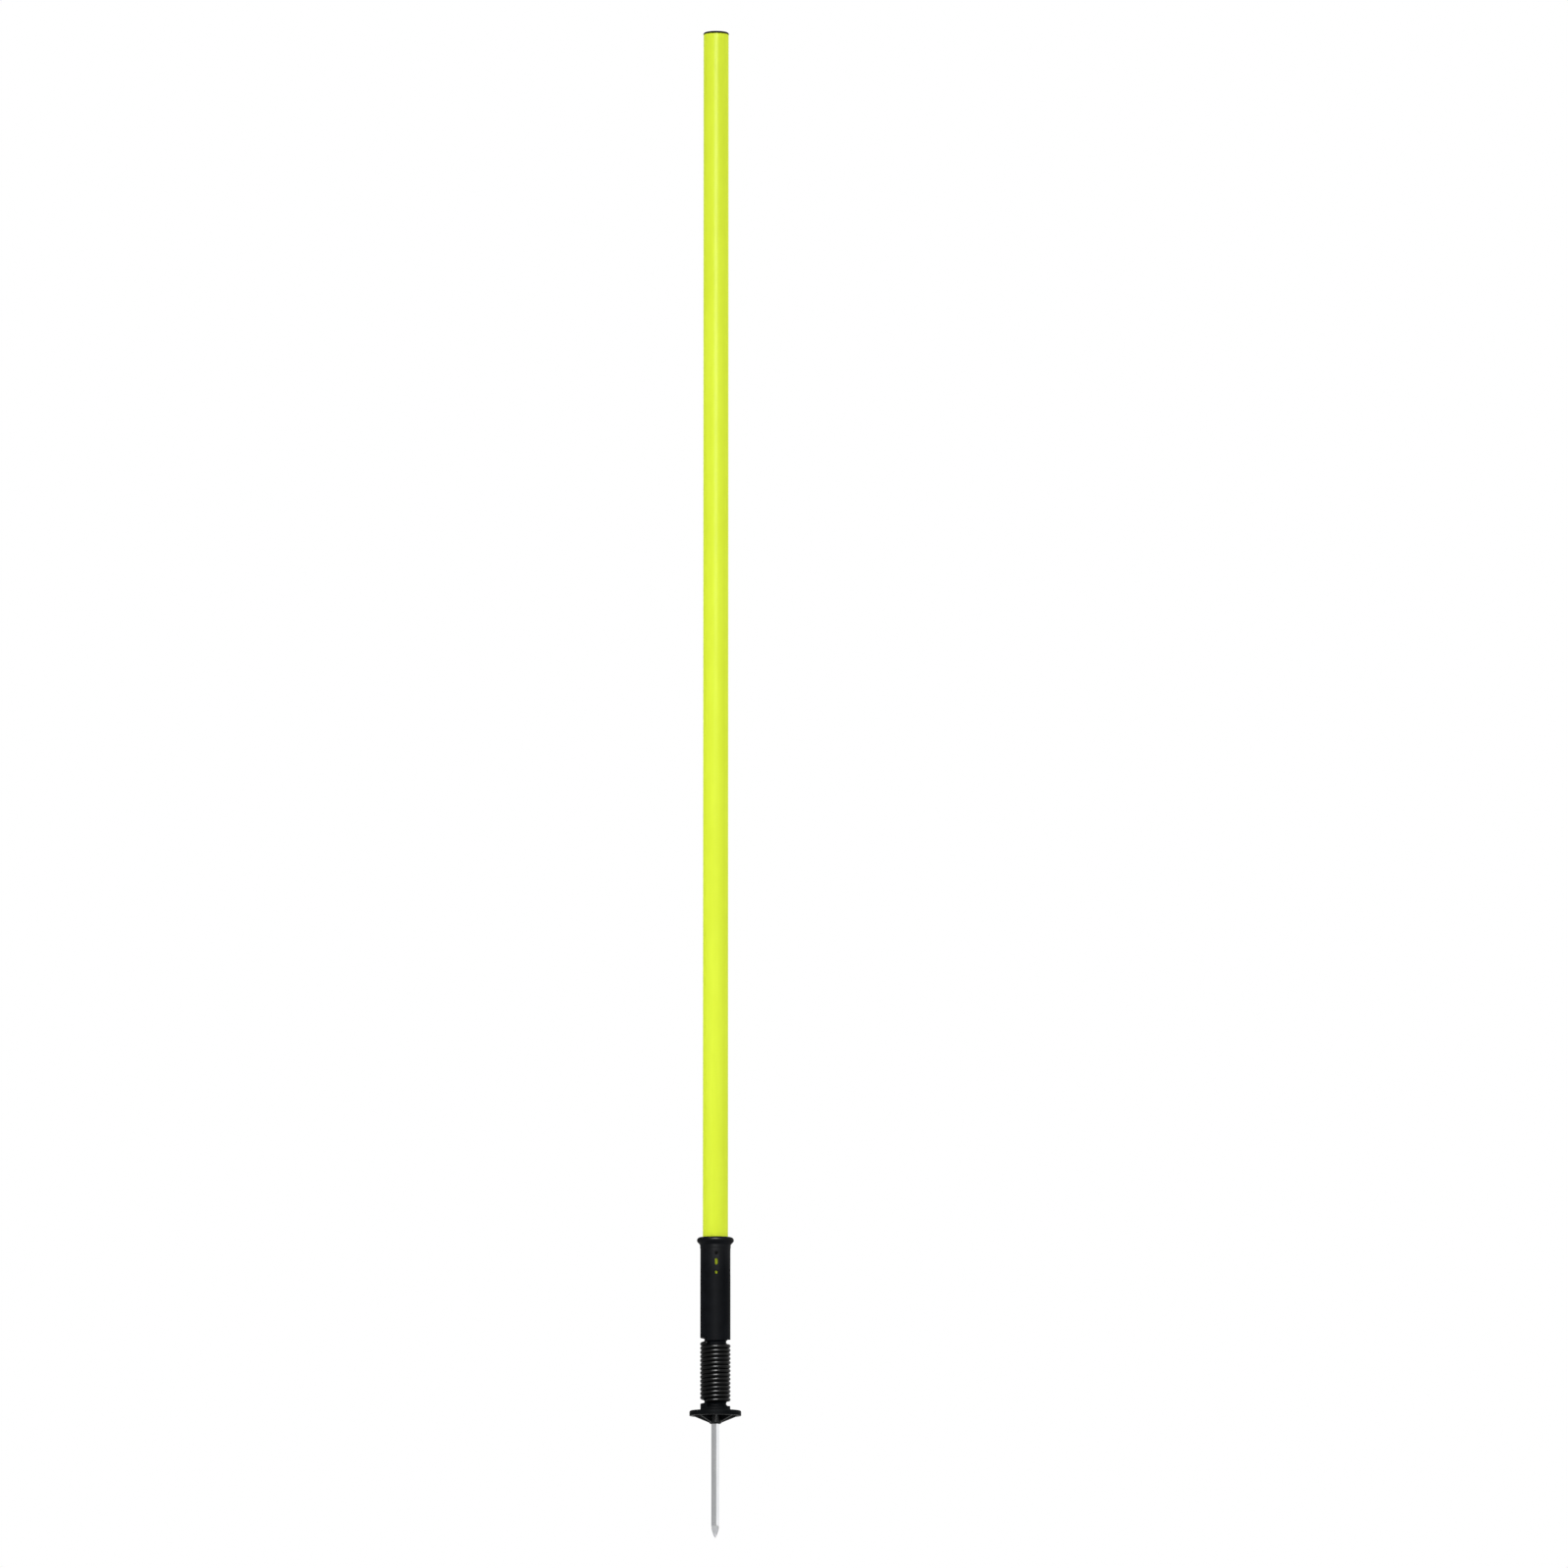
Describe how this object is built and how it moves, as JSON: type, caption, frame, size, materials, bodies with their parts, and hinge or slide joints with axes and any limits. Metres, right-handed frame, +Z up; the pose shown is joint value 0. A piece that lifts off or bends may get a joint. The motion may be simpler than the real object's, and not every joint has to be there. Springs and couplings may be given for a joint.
{
  "type": "slalom pole",
  "caption": "Slim lime-coloured training pole on a coil spring that lets it tilt and return, with a round ribbed foot and a steel ground spike.",
  "frame": {"origin": "on the axis of the pole, at ground level: the flat underside of the foot's rim", "axes": "+Z up along the pole, -Z along the spike into the ground, -Y towards the side with the lock screw and the windows, +X to the right of a person who faces that side"},
  "size_m": [0.051, 0.051, 1.4999],
  "materials": {
    "foot_plastic": "black moulded plastic, satin",
    "socket_plastic": "black moulded plastic, satin",
    "cap_plastic": "black moulded plastic, satin",
    "lime_plastic": "lime extruded plastic, half gloss",
    "coated_steel": "black coated steel, glossy",
    "bright_steel": "bright drawn steel"
  },
  "bodies": {
    "foot": {"ground_foot": "foot_plastic", "spike": "bright_steel", "spike_washer": "bright_steel", "spike_nut": "bright_steel"},
    "spring": {"coil_spring": "coated_steel"},
    "pole": {"pole_socket": "socket_plastic", "lock_screw": "coated_steel", "pole_tube": "lime_plastic", "end_cap": "cap_plastic"}
  },
  "joints": [
    {"name": "tilt_front_back", "type": "hinge", "parent": "foot", "child": "spring", "pos_m": [0, 0, 0.03191], "axis": [1, 0, 0], "range_deg": [-60, 60], "stiffness_Nm_per_rad": 8, "deforming": ["coil_spring"]},
    {"name": "tilt_sideways", "type": "hinge", "parent": "spring", "child": "pole", "pos_m": [0, 0, 0.05419], "axis": [0, 1, 0], "range_deg": [-60, 60], "stiffness_Nm_per_rad": 8, "deforming": ["coil_spring"]}
  ]
}
